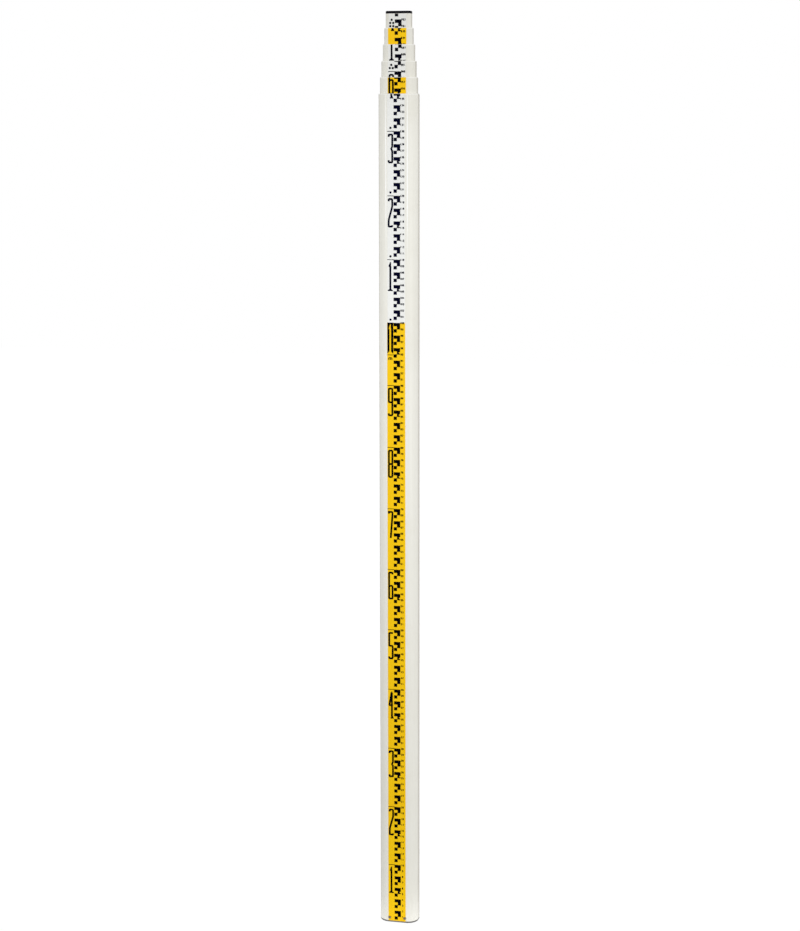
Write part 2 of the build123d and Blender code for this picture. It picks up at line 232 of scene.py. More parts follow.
class StaffPrintSizes(bpy.types.PropertyGroup):
    """Sizes of the printed scale, measured from the middle of the strip and from its lines."""

    column_left: length("Block column", "Left side of the two columns of centimetre blocks", -4.15)
    column_width: length("Block width", "Width of one column of blocks", 5.15)
    spread: length("Ink spread", "How far the ink of the blocks runs past their outline", 0.2)
    notch: length("Notch", "Depth of the notch that marks the middle of each decimetre", 2.6)
    numeral_left: length("Numeral left", "Left side of the large numerals", -13.78)
    numeral_width: length("Numeral width", "Width of a large numeral", 8.8)
    numeral_height: length("Numeral height", "Height of a large numeral", 46.0)
    numeral_stroke: length("Numeral stroke", "Thickness of a large numeral's stroke", 3.05)
    numeral_drop: length("Numeral drop", "From a decimetre line down to its numeral", 3.5)
    line: length("Line", "Thickness of a decimetre line", 1.05)
    dot_radius: length("Dot", "Radius of a metre dot", 1.8)
    dot_centre: length("Dot middle", "Place of the dots across the strip", -9.4)
    dot_rise: length("Dot rise", "From a decimetre line up to its first row of dots", 5.3)
    dot_spacing: length("Dot spacing", "From dot to dot and from row to row", 4.8)
    block_left: length("Metre block", "Left side of the black block below a metre line", -14.5)
    block_width: length("Metre block width", "Width of that block", 9.7)
    block_height: length("Metre block height", "Height of that block", 48.4)
    block_bar: length("Metre block bar", "From the top of the block to its light numeral", 2.4)
    block_stroke: length("Light stroke", "Thickness of the light numeral's stroke", 2.6)
    block_margin: length("Light margin", "From the side of the block to its light numeral", 1.5)
    under_line: length("Second line", "From a metre line down to the thin line under its block", 51.5)
    under_thick: length("Second line thickness", "Thickness of that thin line", 1.0)
    unit_drop: length("Unit drop", "From a metre line down to the unit", 54.8)
    unit_width: length("Unit width", "Width of the unit", 6.7)
    unit_height: length("Unit height", "Height of the unit", 5.0)
    unit_stroke: length("Unit stroke", "Thickness of the unit's stroke", 1.45)
    small_centre: length("Small numbers", "Place of the small numbers across the strip", 9.3)
    small_width: length("Small width", "Width of a small digit", 2.25)
    small_height: length("Small height", "Height of a small digit", 3.6)
    small_stroke: length("Small stroke", "Thickness of a small digit's stroke", 1.08)
    small_pitch: length("Small pitch", "From digit to digit in a small number", 2.45)
    # The edge lines are a painted highlight beside the strip, whitest at one height and fading above and
    # below it
    edge_centre: length("Edge lines", "Half of the distance between the white lines beside the strip", 17.4)
    edge_shift: length("Edge line shift", "How far those lines sit to the side", 0.75)
    edge_width: length("Edge line width", "Width of those lines", 1.75)
    edge_layer: length("Edge line layer", "How far those lines stand on the tube", 0.05)
    edge_middle: length("Edge line middle", "Height where those lines are whitest", 1240)
    edge_reach: length("Edge line reach", "From there to where those lines are worn away", 145)
    field_left: length("Field left", "Left side of the yellow, a little past the film", -14.95)
    field_right: length("Field right", "Right side of the yellow", 14.35)
    field: length("Field layer", "How far the yellow stands on the film", 0.08)
    ink: length("Ink layer", "How far the dark ink stands on the film", 0.14)
    reverse: length("Light layer", "How far the light numerals stand on the film", 0.18)
    root: length("Root", "How far the print reaches into the film", 0.03)
    bow: length("Bow", "How far the outer section's ink runs aside, for a square metre of height", 1.45)
    bow_end: length("Bow end", "Height where that ink is back in the middle", 1044)
    drift: FloatVectorProperty(
        name="Drift", description="How far the print of each section sits to the side", size=6,
        default=[aside * MM for aside in (0.1, 1.2, 1.0, 1.2, 0.25, 0.1)], unit="LENGTH", precision=5)


class StaffFinishColours(bpy.types.PropertyGroup):
    """Colours of the finishes."""

    tube: tint("Tube", "Ivory gel coat of the tubes", 234, 233, 225)
    tube_shade: tint("Tube shade", "Faint mottling of the gel coat", 228, 226, 216)
    film: tint("Film", "White of the printed strip", 236, 237, 234)
    film_shade: tint("Film shade", "Faint mottling of the strip", 231, 232, 229)
    yellow: tint("Yellow", "Yellow of the even metres", 247, 202, 16)
    yellow_shade: tint("Yellow shade", "Deeper patches of the yellow", 241, 190, 15)
    black: tint("Black", "Ink of the marks and numbers", 1, 1, 3)
    black_shade: tint("Black shade", "Thinner patches of the ink", 4, 3, 7)
    faded: tint("Faded ink", "Ink over white that daylight has faded", 1, 2, 30)
    cap: tint("Cap", "Moulded top cap", 14, 14, 22)
    # The plug colour is also the painted shade on the sides of screws, pins, buttons and rivets
    plug: tint("Plug", "Nylon of the inner plugs", 46, 46, 48)
    # Painted highlight: the edge colour whitens the lines beside the strip and each tube's rim
    edge: tint("Edge line", "White lines beside the strip", 250, 250, 248)
    foot: tint("Foot", "Worn steel of the foot plate", 80, 77, 82)
    bright: tint("Bright metal", "Screws, pins and buttons", 168, 166, 162)
    # Painted shade: the rivet colour is kept dark to stand for the shade on the domed heads
    rivet: tint("Rivet", "Worn heads of the foot's rivets", 126, 112, 84)
    # This colour is dust near the floor, and also painted shade on the tubes' turned sides and towards the
    # top of the tubes and the film
    grime: tint("Grime", "Dirt on the upper ends and at the foot", 168, 162, 148)


class StaffStageSizes(bpy.types.PropertyGroup):
    """Camera and light."""

    distance: length("Camera distance", "From the staff's axis to the camera, level", 3295)
    height: length("Camera height", "Height of the camera", 1319)
    azimuth: angle("Camera azimuth", "How far the camera stands to the staff's right", 13.79)
    tilt: angle("Camera tilt", "How far the camera looks down", 9.5)
    pan: angle("Camera pan", "How far the camera turns off the staff's axis", 0.011)
    roll: angle("Camera roll", "How far the camera leans", -0.076)
    lens: setting("Lens", "Focal length", 80.07, "CAMERA")
    floor: length("Floor", "Side of the floor", 16000)
    ambient: setting("Ambient", "Strength of the even light from above", 1.18)
    key: power("Key", "Power of the far soft lamp", 19.5)
    key_azimuth: angle("Key azimuth", "How far that lamp stands to the staff's right", 50)
    key_distance: length("Key distance", "From the staff's axis to that lamp", 3000)
    key_height: length("Key height", "Height of that lamp", 700)
    key_size: length("Key size", "Side of that lamp", 1200)
    near: power("Near", "Power of the small lamp close by", 0.53)
    near_azimuth: angle("Near azimuth", "How far that lamp stands to the staff's right", -20)
    near_distance: length("Near distance", "From the staff's axis to that lamp", 600)
    near_height: length("Near height", "Height of that lamp", 950)
    near_size: length("Near size", "Side of that lamp", 350)
    glow: power("Glow", "Light that the floor gives the foot", 0.055)
    glow_size: length("Glow size", "Width of the bright floor round the foot", 200)


def reading_at_floor(number):
    """What the scale of a section would read at the height of the floor, with the staff closed."""
    return sum(TRAVELS[f"section_{k}"] for k in SECTIONS if 1 < k <= number)


def middle(node):
    """Middle of a node's box."""
    low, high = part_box(node)
    return (low + high) / 2


# Objects

def placed(name, data):
    """A new object in the scene."""
    item = bpy.data.objects.new(name, data)
    bpy.context.scene.collection.objects.link(item)
    return item


def made(name, parts, material=None):
    """A new object of parts, each given as its points and its faces."""
    points = []
    faces = []
    for corners, sides in parts:
        faces += [[len(points) + corner for corner in side] for side in sides]
        points += corners
    mesh = bpy.data.meshes.new(name)
    mesh.from_pydata(points, [], faces)
    if material:
        mesh.materials.append(material)
    return placed(name, mesh)


def removed(*items):
    """Take helper objects away again."""
    for item in items:
        bpy.data.objects.remove(item)


def settle(piece, body, slot, *nodes):
    """Tie a finished piece to its body, and let it stand for nodes that it covers. Its slot is not used."""
    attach(piece, body)
    if nodes:
        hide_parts(*nodes)


def stack(rings):
    """A closed solid through rings of points, each anticlockwise seen from the last ring's side."""
    count = len(rings[0])
    points = [point for ring in rings for point in ring]
    last = len(points) - count
    faces = [range(count)[::-1], range(last, last + count)]
    for low in range(0, last, count):
        for step in range(count):
            after = (step + 1) % count
            faces.append((low + step, low + after, low + count + after, low + count + step))
    return points, faces


def prism(outline, low, high):
    """An upright prism on an outline that runs anticlockwise seen from above."""
    return stack([[(x, y, z) for x, y in outline] for z in (low, high)])


def turned(centre, outwards, rings):
    """A round solid along a level line: rings of (distance outwards, radius)."""
    upwards = Vector((0, 0, 1))
    across = upwards.cross(outwards)
    turns = [math.tau * step / HOLE_FACETS for step in range(HOLE_FACETS)]
    spokes = [math.cos(turn) * across + math.sin(turn) * upwards for turn in turns]
    return stack([[centre + outwards * distance + radius * spoke for spoke in spokes]
                  for distance, radius in rings])


# Node trees

def by_node(operation, kind="ShaderNodeMath"):
    """A method that adds the node for one operation."""
    def method(*values):
        return add(values[0].tree, kind, dict(enumerate(values)), operation=operation)
    return method


class Value:
    """An output of a node. Sums and tests of values add the nodes that work them out."""

    def __init__(self, tree, socket):
        self.tree = tree
        self.socket = socket

    def __getitem__(self, output):
        """Another output of the same node."""
        return Value(self.tree, self.socket.node.outputs[output])

    def __neg__(self):
        return self * -1

    __add__ = by_node("ADD")
    __sub__ = by_node("SUBTRACT")
    __mul__ = by_node("MULTIPLY")
    __truediv__ = by_node("DIVIDE")
    __mod__ = by_node("MODULO")
    __floor__ = by_node("FLOOR")
    __ceil__ = by_node("CEIL")
    __round__ = by_node("ROUND")
    __abs__ = by_node("ABSOLUTE")
    __gt__ = by_node("GREATER_THAN", "FunctionNodeCompare")
    __lt__ = by_node("LESS_THAN", "FunctionNodeCompare")
    __and__ = by_node("AND", "FunctionNodeBooleanMath")
    __invert__ = by_node("NOT", "FunctionNodeBooleanMath")


def join(socket, value):
    """Link a value into a socket, or set a plain one on it."""
    if isinstance(value, Value):
        value.tree.links.new(value.socket, socket)
    else:
        socket.default_value = value


def add(tree, kind, inputs=None, **settings):
    """Add a node, apply its settings, set or link its inputs and give its first output."""
    node = tree.nodes.new(kind)
    for key, value in settings.items():
        setattr(node, key, value)
    for key, value in (inputs or {}).items():
        join(node.inputs[key], value)
    return Value(tree, next((output for output in node.outputs if output.enabled), None))


def vector(x=0.0, y=0.0, z=0.0):
    """A vector of three numbers, by a node where one of them is worked out."""
    values = [number for number in (x, y, z) if isinstance(number, Value)]
    return add(values[0].tree, "ShaderNodeCombineXYZ", {0: x, 1: y, 2: z}) if values else (x, y, z)


def position(tree):
    """Place of a point, with X, Y and Z as outputs."""
    return add(tree, "ShaderNodeSeparateXYZ", {0: add(tree, "GeometryNodeInputPosition")})


def moved(shape, x=0.0, y=0.0, z=0.0):
    """A shape shifted as a whole."""
    return add(shape.tree, "GeometryNodeTransform", {"Geometry": shape, "Translation": vector(x, y, z)})


def shifted(shape, x=0.0, y=0.0):
    """A shape with each of its points shifted."""
    return add(shape.tree, "GeometryNodeSetPosition", {"Geometry": shape, "Offset": vector(x, y)})


def realized(shape):
    """A shape with its instances made plain faces."""
    return add(shape.tree, "GeometryNodeRealizeInstances", {0: shape})


def noted(shape, name, value, domain):
    """A shape that carries a number as an attribute."""
    return add(shape.tree, "GeometryNodeStoreNamedAttribute", {
        "Geometry": shape, "Name": name, "Value": value}, data_type="FLOAT", domain=domain)


def object_shape(port):
    """The shape of an object that a tree is given."""
    return add(port.tree, "GeometryNodeObjectInfo", {"Object": port})["Geometry"]


def gather(*parts):
    """Several shapes as one."""
    whole = add(parts[0].tree, "GeometryNodeJoinGeometry")
    for part in parts:
        join(whole.socket.node.inputs[0], part)
    return whole


def combined(parts, inputs=None, **settings):
    """Several solids as one."""
    whole = add(parts[0].tree, "GeometryNodeMeshBoolean", inputs, **settings)
    for part in parts:
        join(whole.socket.node.inputs["Mesh 2"], part)
    return whole


class Ports:
    """Inputs of a node tree as its attributes."""

    def __init__(self, tree):
        self.tree = tree
        self.node = tree.nodes.new("NodeGroupInput")

    def __getattr__(self, label):
        return Value(self.tree, self.node.outputs[label])


def new_group(name, kind, inputs, outputs):
    """A node group with sockets of some kinds. Gives its inputs, which know their tree."""
    tree = bpy.data.node_groups.new(name, kind)
    for side, sockets in (("INPUT", inputs), ("OUTPUT", outputs)):
        for what, labels in sockets.items():
            for label in labels:
                tree.interface.new_socket(label, in_out=side, socket_type="NodeSocket" + what)
    return Ports(tree)


def new_shape_tree(name, **inputs):
    """A geometry tree with these inputs by kind. Gives its inputs."""
    return new_group(name, "GeometryNodeTree", inputs, {"Geometry": ["Geometry"]})


def end_tree(shape, material):
    """Close a tree: plain faces, one material."""
    coated = add(shape.tree, "GeometryNodeSetMaterial", {"Geometry": realized(shape), "Material": material})
    add(shape.tree, "NodeGroupOutput", {0: coated})
    return shape.tree


def grow(name, tree, values, sizes=None, keep_normals=False):
    """Run a geometry tree once and keep its result as a plain mesh object at the origin.

    Inputs that get no value here are named after the settings that they take.
    """
    holder = placed(name + "_holder", bpy.data.meshes.new(name + "_holder"))
    modifier = holder.modifiers.new("Build", "NODES")
    modifier.node_group = tree
    for item in tree.interface.items_tree:
        if item.in_out == "INPUT":
            given = item.name in values
            modifier[item.identifier] = values[item.name] if given else getattr(sizes, item.name)
    if keep_normals:
        weighted = holder.modifiers.new("Even shading", "WEIGHTED_NORMAL")
        weighted.keep_sharp = True
    graph = bpy.context.evaluated_depsgraph_get()
    mesh = bpy.data.meshes.new_from_object(holder.evaluated_get(graph))
    removed(holder)
    if not mesh.polygons:
        raise RuntimeError(f"{name} came out empty")
    mesh.name = name
    return placed(name, mesh)


# Tubes

def rounded_box(width, height, radius, facets):
    """A rectangle with round corners."""
    box = add(width.tree, "GeometryNodeCurvePrimitiveQuadrilateral", {"Width": width, "Height": height})
    return add(width.tree, "GeometryNodeFilletCurve", {
        "Curve": box, "Radius": radius, "Count": facets}, mode="POLY")


def tube_tree():
    """A wall's section carried round the tube's outline, with the holes cut out."""
    ports = new_shape_tree(
        "Staff tube", Float=("width", "depth", "corner", "wall", "bottom", "top", "mouth", "rim"),
        Int=["corner_steps"], Object=["cutters"], Material=["material"])
    tree = ports.tree
    outline = rounded_box(ports.width, ports.depth, ports.corner, ports.corner_steps)
    wall = rounded_box(ports.wall, ports.top - ports.bottom, ports.rim, RIM_FACETS)
    wall = moved(wall, ports.wall * -0.5, (ports.top + ports.bottom) * -0.5)
    tube = add(tree, "GeometryNodeCurveToMesh", {"Curve": outline, "Profile Curve": wall})
    tube = add(tree, "GeometryNodeMeshBoolean", {"Mesh 1": tube, "Mesh 2": object_shape(ports.cutters)},
               operation="DIFFERENCE", solver="EXACT")
    tube = add(tree, "GeometryNodeSetShadeSmooth", {"Geometry": tube, "Shade Smooth": True})
    bend = add(tree, "GeometryNodeInputMeshEdgeAngle")["Unsigned Angle"]
    tube = add(tree, "GeometryNodeSetShadeSmooth", {
        "Geometry": tube, "Selection": bend > CREASE, "Shade Smooth": False}, domain="EDGE")
    return end_tree(noted(tube, MOUTH, ports.mouth - position(tree)["Z"], "POINT"), ports.material)


def make_cutters(number, sizes):
    """One object of all the solids that cut holes into a section's tube."""
    low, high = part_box(f"section_{number}_tube")
    right, back = Vector((1, 0, 0)), Vector((0, 1, 0))
    reach = 2 * sizes.wall
    solids = []

    def straight(x, y, z, outwards, radius):
        solids.append(turned(Vector((x, y, z)), outwards, [(-reach, radius), (reach, radius)]))

    if number + 1 in SECTIONS:
        stored = middle(f"section_{number + 1}_lock_button").z
        flare = sizes.lock_hole + sizes.lock_flare
        rings = [(-reach, sizes.lock_hole), (-sizes.lock_flare, sizes.lock_hole), (0, flare),
                 (reach, flare + reach)]
        for z in (stored, stored + TRAVELS[f"section_{number + 1}"]):
            solids.append(turned(Vector((0, high.y, z)), back, rings))
    if number > 1:
        z = middle(f"section_{number}_lock_button").z
        straight(0, high.y, z, back, sizes.button_hole)
        straight(high.x, 0, z, right, sizes.pin_hole)
        straight(low.x, 0, z, -right, sizes.pin_hole)
    else:
        rivets_low, rivets_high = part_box("foot_rivets")
        z = middle("foot_rivets").z
        for x in (rivets_low.x + sizes.rivet_head, rivets_high.x - sizes.rivet_head):
            straight(x, high.y, z, back, sizes.rivet_hole)
            straight(x, low.y, z, -back, sizes.rivet_hole)
    return made(f"section_{number}_cutters", solids)


class STAFF_OT_make_tubes(bpy.types.Operator):
    """Make the smooth skins of the six tubes"""

    bl_idname = "staff.make_tubes"
    bl_label = "Tubes"

    def execute(self, context):
        sizes = context.scene.staff_tubes
        tree = tube_tree()
        outer_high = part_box(f"section_{SECTIONS[0]}_tube")[1]
        for number in SECTIONS:
            node = f"section_{number}_tube"
            low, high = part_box(node)
            inset = outer_high.x - high.x
            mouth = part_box("top_cap")[1].z if number == SECTIONS[-1] else high.z
            cutters = make_cutters(number, sizes)
            skin = grow(f"section_{number}_tube_skin", tree, {
                "width": high.x - low.x, "depth": high.y - low.y, "corner": sizes.corner - inset,
                "bottom": low.z, "top": high.z, "mouth": mouth, "cutters": cutters,
                "material": gel_coat()}, sizes, keep_normals=True)
            removed(cutters)
            settle(skin, f"section_{number}", "tube_fibreglass", node)
        return {"FINISHED"}


# Printed scale. Every tree lays its print out flat, across in X and up in Y, then stands it on the strip.
# Counts are worked out as fractions, so a test on a count stands half-way between two whole numbers.

def new_print_tree(name, *lengths, **others):
    """A geometry tree with the inputs of every print tree and some of its own. Gives its inputs."""
    shared = ("lower", "upper", "reading", "drift", "front", "root", "layer", "fade", "bow", "bow_end")
    return new_shape_tree(name, Float=shared + lengths, Material=["material"], **others)


def up(ports):
    """Height of a point of a flat print."""
    return position(ports.tree)["Y"]


def thickness(ports):
    """Whole thickness of a print: its layer and its root."""
    return ports.layer + ports.root


def ruler_points(ports, step):
    """Points on the lines of a ruler, from below the strip's lower end to above its upper one."""
    first = math.floor((ports.lower + ports.reading) / step)
    count = math.ceil((ports.upper - ports.lower) / step) + 2
    start = first * step - ports.reading
    return add(ports.tree, "GeometryNodeMeshLine", {
        "Count": count, "Start Location": vector(y=start), "Offset": vector(y=step)})


def line_number(ports, step):
    """Which line of the ruler a point is on."""
    return round((up(ports) + ports.reading) / step)


def on_strip(ports, below, above):
    """True where a mark that reaches from below to above its line lies on the strip, at least in part."""
    return (up(ports) + above > ports.lower + HAIR) & (up(ports) - below < ports.upper - HAIR)


def remainder_is(number, divisor, wanted):
    """True where a whole number leaves this remainder."""
    return abs(number % divisor - wanted) < 0.5


def bar(ports, left, width, bottom, height):
    """A flat bar placed from its line, as thick as the print."""
    deep = thickness(ports)
    cube = add(ports.tree, "GeometryNodeMeshCube", {"Size": vector(width, height, deep)})
    return moved(cube, width * 0.5 + left, height * 0.5 + bottom, deep * 0.5)


def stamped(points, shape, where, **more):
    """A shape on each chosen point."""
    return add(points.tree, "GeometryNodeInstanceOnPoints", {
        "Points": points, "Selection": where, "Instance": shape, **more})


def picked(points, glyphs, where, index):
    """One glyph of a collection on each chosen point."""
    glyphs = add(points.tree, "GeometryNodeCollectionInfo", {
        "Collection": glyphs, "Separate Children": True, "Reset Children": True})
    return stamped(points, glyphs, where, **{"Pick Instance": True, "Instance Index": index})


def copied(points, amount):
    """Each point as often as a number says."""
    return add(points.tree, "GeometryNodeDuplicateElements", {
        "Geometry": points, "Amount": amount}, domain="POINT")


def trimmed(flat, ports):
    """Bars cut off square at the strip's ends."""
    place = position(flat.tree)
    held = add(flat.tree, "ShaderNodeClamp", {0: place["Y"], 1: ports.lower, 2: ports.upper})
    return add(flat.tree, "GeometryNodeSetPosition", {
        "Geometry": realized(flat), "Position": vector(place["X"], held, place["Z"])})


def clipped(flat, ports):
    """Numerals cut off at the strip's ends, with the cut closed."""
    size = vector(DECIMETRE, ports.upper - ports.lower, CENTIMETRE)
    window = add(flat.tree, "GeometryNodeMeshCube", {"Size": size})
    window = moved(window, y=(ports.upper + ports.lower) * 0.5)
    return combined((realized(flat), window), operation="INTERSECT", solver="MANIFOLD")


def end_print_tree(flat, ports):
    """Note where a flat print has faded, bow it, stand it on its strip and close the tree."""
    metre = math.floor(up(ports) + ports.reading)
    faded = noted(realized(flat), FADED, metre % 2 * ports.fade, "FACE")
    bowed = shifted(faded, up(ports) * (up(ports) - ports.bow_end) * ports.bow)
    upright = add(flat.tree, "GeometryNodeTransform", {
        "Geometry": bowed, "Rotation": (math.radians(90), 0, 0),
        "Translation": vector(ports.drift, ports.front + ports.root)})
    return end_tree(upright, ports.material)


def graduation_tree():
    """Centimetre blocks: half ones on the left, whole ones on the right, every fifth of these notched."""
    ports = new_print_tree("Centimetre blocks", "column_left", "column_width", "spread", Object=["notched"])
    points = ruler_points(ports, CENTIMETRE)
    number = line_number(ports, CENTIMETRE)

    def block(left, tall):
        wide = ports.column_width + ports.spread
        return bar(ports, left, wide, -(ports.spread + tall), ports.spread * 2 + tall)

    half = block(ports.column_left - ports.spread, CENTIMETRE / 2)
    whole = block(ports.column_left + ports.column_width, CENTIMETRE)
    even = remainder_is(number, 2, 0) & on_strip(ports, CENTIMETRE, 0.0)
    fifth = remainder_is(number, 10, NOTCHED_LINE)
    marks = gather(
        stamped(points, half, on_strip(ports, CENTIMETRE / 2, 0.0)),
        stamped(points, whole, even & ~fifth),
        stamped(points, object_shape(ports.notched), even & fifth))
    return end_print_tree(trimmed(marks, ports), ports)


def numeral_tree():
    """Large numerals, each hanging from its line."""
    ports = new_print_tree("Numerals", "step", "numeral_left", "numeral_drop", Collection=["glyphs"])
    digit = line_number(ports, ports.step) % 10
    rows = picked(ruler_points(ports, ports.step), ports.glyphs, digit > 0.5, digit - 1)
    return end_print_tree(clipped(moved(rows, ports.numeral_left, -ports.numeral_drop), ports), ports)


def decimetre_tree():
    """A thin line at each decimetre, and above it as many dots as there are whole metres below."""
    ports = new_print_tree("Decimetre marks", "block_left", "column_left", "line", "dot_radius", "dot_centre",
                           "dot_rise", "dot_spacing")
    points = ruler_points(ports, DECIMETRE)
    half_line = ports.line * 0.5
    line = bar(ports, ports.block_left, ports.column_left - ports.block_left, -half_line, ports.line)
    lines = stamped(points, line, on_strip(ports, half_line, half_line))
    metres = math.floor((line_number(ports, DECIMETRE) + 0.5) / 10)
    copies = copied(points, metres)
    place = copies["Duplicate Index"]
    row = math.floor((place + 0.25) * 0.5)
    alone = (place + 1.5 > metres) & remainder_is(metres, 2, 1)
    side = (place % 2 - 0.5) * ~alone
    across = side * ports.dot_spacing + ports.dot_centre
    rows = shifted(copies, across, row * ports.dot_spacing + ports.dot_rise)
    deep = thickness(ports)
    dot = add(ports.tree, "GeometryNodeMeshCylinder", {
        "Vertices": DOT_FACETS, "Radius": ports.dot_radius, "Depth": deep})
    dots = stamped(rows, moved(dot, z=deep * 0.5), on_strip(ports, -ports.dot_radius, -ports.dot_radius))
    return end_print_tree(gather(trimmed(lines, ports), dots), ports)


def small_number_tree():
    """The count of centimetres beside each line, digit by digit."""
    ports = new_print_tree("Small numbers", "small_centre", "small_pitch", "small_width", "small_height",
                           Collection=["glyphs"])
    number = line_number(ports, CENTIMETRE)
    digits = (number > 9.5) + (number > 99.5) + 1
    copies = copied(ruler_points(ports, CENTIMETRE), digits)
    place = copies["Duplicate Index"]
    share = (number + 0.5) / add(ports.tree, "ShaderNodeMath", {0: 10, 1: place}, operation="POWER")
    aside = ((digits - 1) * 0.5 - place) * ports.small_pitch - ports.small_width * 0.5
    half = ports.small_height * 0.5
    where = on_strip(ports, -half, -half) & (number > 0.5)
    rows = picked(shifted(copies, aside + ports.small_centre), ports.glyphs, where, math.floor(share % 10))
    return end_print_tree(moved(rows, y=half), ports)


def metre_tree():
    """A black block under each metre line, with a thin line and the unit below it."""
    ports = new_print_tree("Metre marks", "block_left", "block_width", "block_height", "column_left",
                           "under_line", "under_thick", "unit_width", "unit_drop", Object=["unit"])
    points = ruler_points(ports, METRE)
    block = bar(ports, ports.block_left, ports.block_width, -ports.block_height, ports.block_height)
    wide = ports.column_left - ports.block_left
    under = bar(ports, ports.block_left, wide, -ports.under_line, ports.under_thick)
    unit_left = (ports.block_width - ports.unit_width) * 0.5 + ports.block_left
    unit = moved(object_shape(ports.unit), unit_left, -ports.unit_drop)
    bars = gather(
        stamped(points, block, on_strip(ports, ports.block_height, 0.0)),
        stamped(points, under, on_strip(ports, ports.under_line, -ports.under_line)))
    units = stamped(points, unit, on_strip(ports, ports.unit_drop, -ports.unit_drop))
    return end_print_tree(gather(trimmed(bars, ports), units), ports)


def stroke_tree():
    """One glyph as a solid: strokes along rounded paths, joined with its flags and serifs."""
    ports = new_shape_tree("Strokes", Float=("stroke", "deep"), Int=["facets"], Object=("paths", "wedges"))
    tree = ports.tree
    deep = ports.deep / MM
    path = add(tree, "GeometryNodeFilletCurve", {
        "Curve": object_shape(ports.paths), "Radius": add(tree, "GeometryNodeInputRadius"),
        "Limit Radius": True, "Count": ports.facets}, mode="POLY")
    path = add(tree, "GeometryNodeSetCurveNormal", {"Curve": path}, mode="Z_UP")
    pen = add(tree, "GeometryNodeCurvePrimitiveQuadrilateral", {"Width": ports.stroke / MM, "Height": deep})
    strokes = add(tree, "GeometryNodeCurveToMesh", {
        "Curve": path, "Profile Curve": pen, "Scale": 1.0, "Fill Caps": True})
    flat = object_shape(ports.wedges)
    top = add(tree, "GeometryNodeExtrudeMesh", {"Mesh": flat, "Offset Scale": deep, "Individual": False})
    base = add(tree, "GeometryNodeFlipFaces", {"Mesh": flat})
    wedges = add(tree, "GeometryNodeMergeByDistance", {"Geometry": gather(top, base), "Distance": WELD})
    solid = combined((moved(strokes, z=deep * 0.5), wedges), {"Self Intersection": True},
                     operation="UNION", solver="EXACT")
    solid = add(tree, "GeometryNodeTransform", {"Geometry": solid, "Scale": (MM, MM, MM)})
    add(tree, "NodeGroupOutput", {0: solid})
    return tree


def path_curve(strokes, width, height, stroke):
    """A curve object of a glyph's strokes, in millimetres. A point's radius holds its corner's rounding."""
    curve = bpy.data.curves.new("paths", "CURVE")
    curve.dimensions = "3D"
    across = (width - stroke) / MM
    upwards = (height - stroke) / MM
    edge = stroke / MM / 2
    for order, path in enumerate(strokes):
        closed = path[0][:2] == path[-1][:2]
        corners = path[:-1] if closed else path
        spline = curve.splines.new("POLY")
        spline.points.add(len(corners) - 1)
        spline.use_cyclic_u = closed
        for point, (x, y, rounding) in zip(spline.points, corners):
            point.co = (edge + x * across, edge + y * upwards - height / MM, order * LEVEL, 1)
            point.radius = rounding * across
    return placed("paths", curve)


def wedge_mesh(outlines, width, height):
    """An object of a glyph's flat flags and serifs, in millimetres."""
    flats = []
    for order, outline in enumerate(outlines, 1):
        corners = [(x * width / MM, (y - 1) * height / MM, -order * LEVEL) for x, y in outline]
        flats.append((corners, [range(len(corners))]))
    wedges = made("wedges", flats)
    for face in wedges.data.polygons:
        if face.normal.z < 0:
            face.flip()
    return wedges


def make_glyph(name, pen, strokes, outlines, facets, width, height, stroke, deep):
    """One glyph as a solid, with its top left corner at the origin."""
    paths = path_curve(strokes, width, height, stroke)
    wedges = wedge_mesh(outlines, width, height)
    glyph = grow(name, pen, {
        "paths": paths, "wedges": wedges, "stroke": stroke, "deep": deep, "facets": facets})
    removed(paths, wedges)
    return glyph


def make_glyphs(name, strokes, outlines, facets, *size):
    """A collection of glyphs, which a tree picks from in the order of their names."""
    pen = stroke_tree()
    collection = bpy.data.collections.new(name)
    bpy.context.scene.collection.children.link(collection)
    for digit, paths in strokes.items():
        glyph = make_glyph(f"{name}_{digit}", pen, paths, outlines.get(digit, []), facets, *size)
        bpy.context.scene.collection.objects.unlink(glyph)
        collection.objects.link(glyph)
    return collection


def discard(collection):
    """Take glyphs away again once the print that uses them is a plain mesh."""
    removed(*collection.objects)
    bpy.data.collections.remove(collection)


def notched_block(sizes):
    """A whole block with a pointed notch in the right side of its lower half, hanging from its line."""
    left = sizes.column_left + sizes.column_width
    right = left + sizes.column_width + sizes.spread
    bottom = -CENTIMETRE - sizes.spread
    outline = [(left, bottom), (right, bottom), (right, NOTCH_BOTTOM * CENTIMETRE),
               (right - sizes.notch, NOTCH_POINT * CENTIMETRE), (right, NOTCH_TOP * CENTIMETRE),
               (right, sizes.spread), (left, sizes.spread)]
    return made("notched_block", [prism(outline, 0, sizes.ink + sizes.root)])


class STAFF_OT_print_fields(bpy.types.Operator):
    """Lay the yellow of the even metres on the strips"""

    bl_idname = "staff.print_fields"
    bl_label = "Yellow fields"

    def execute(self, context):
        sizes = context.scene.staff_print
        for number in SECTIONS:
            low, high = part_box(f"section_{number}_scale")
            reading = reading_at_floor(number)
            left = sizes.field_left + sizes.drift[number - 1]
            right = sizes.field_right + sizes.drift[number - 1]
            front = low.y - sizes.field
            back = high.y + sizes.root
            outline = [(left, front), (right, front), (right, back), (left, back)]
            solids = []
            for metre in range(0, math.ceil(high.z + reading), 2):
                bottom = max(low.z, metre - reading)
                top = min(high.z, metre + METRE - reading)
                if top - bottom > HAIR:
                    solids.append(prism(outline, bottom, top))
            field = made(f"section_{number}_yellow_fields", solids, yellow_ink())
            settle(field, f"section_{number}", "scale_film")
        return {"FINISHED"}


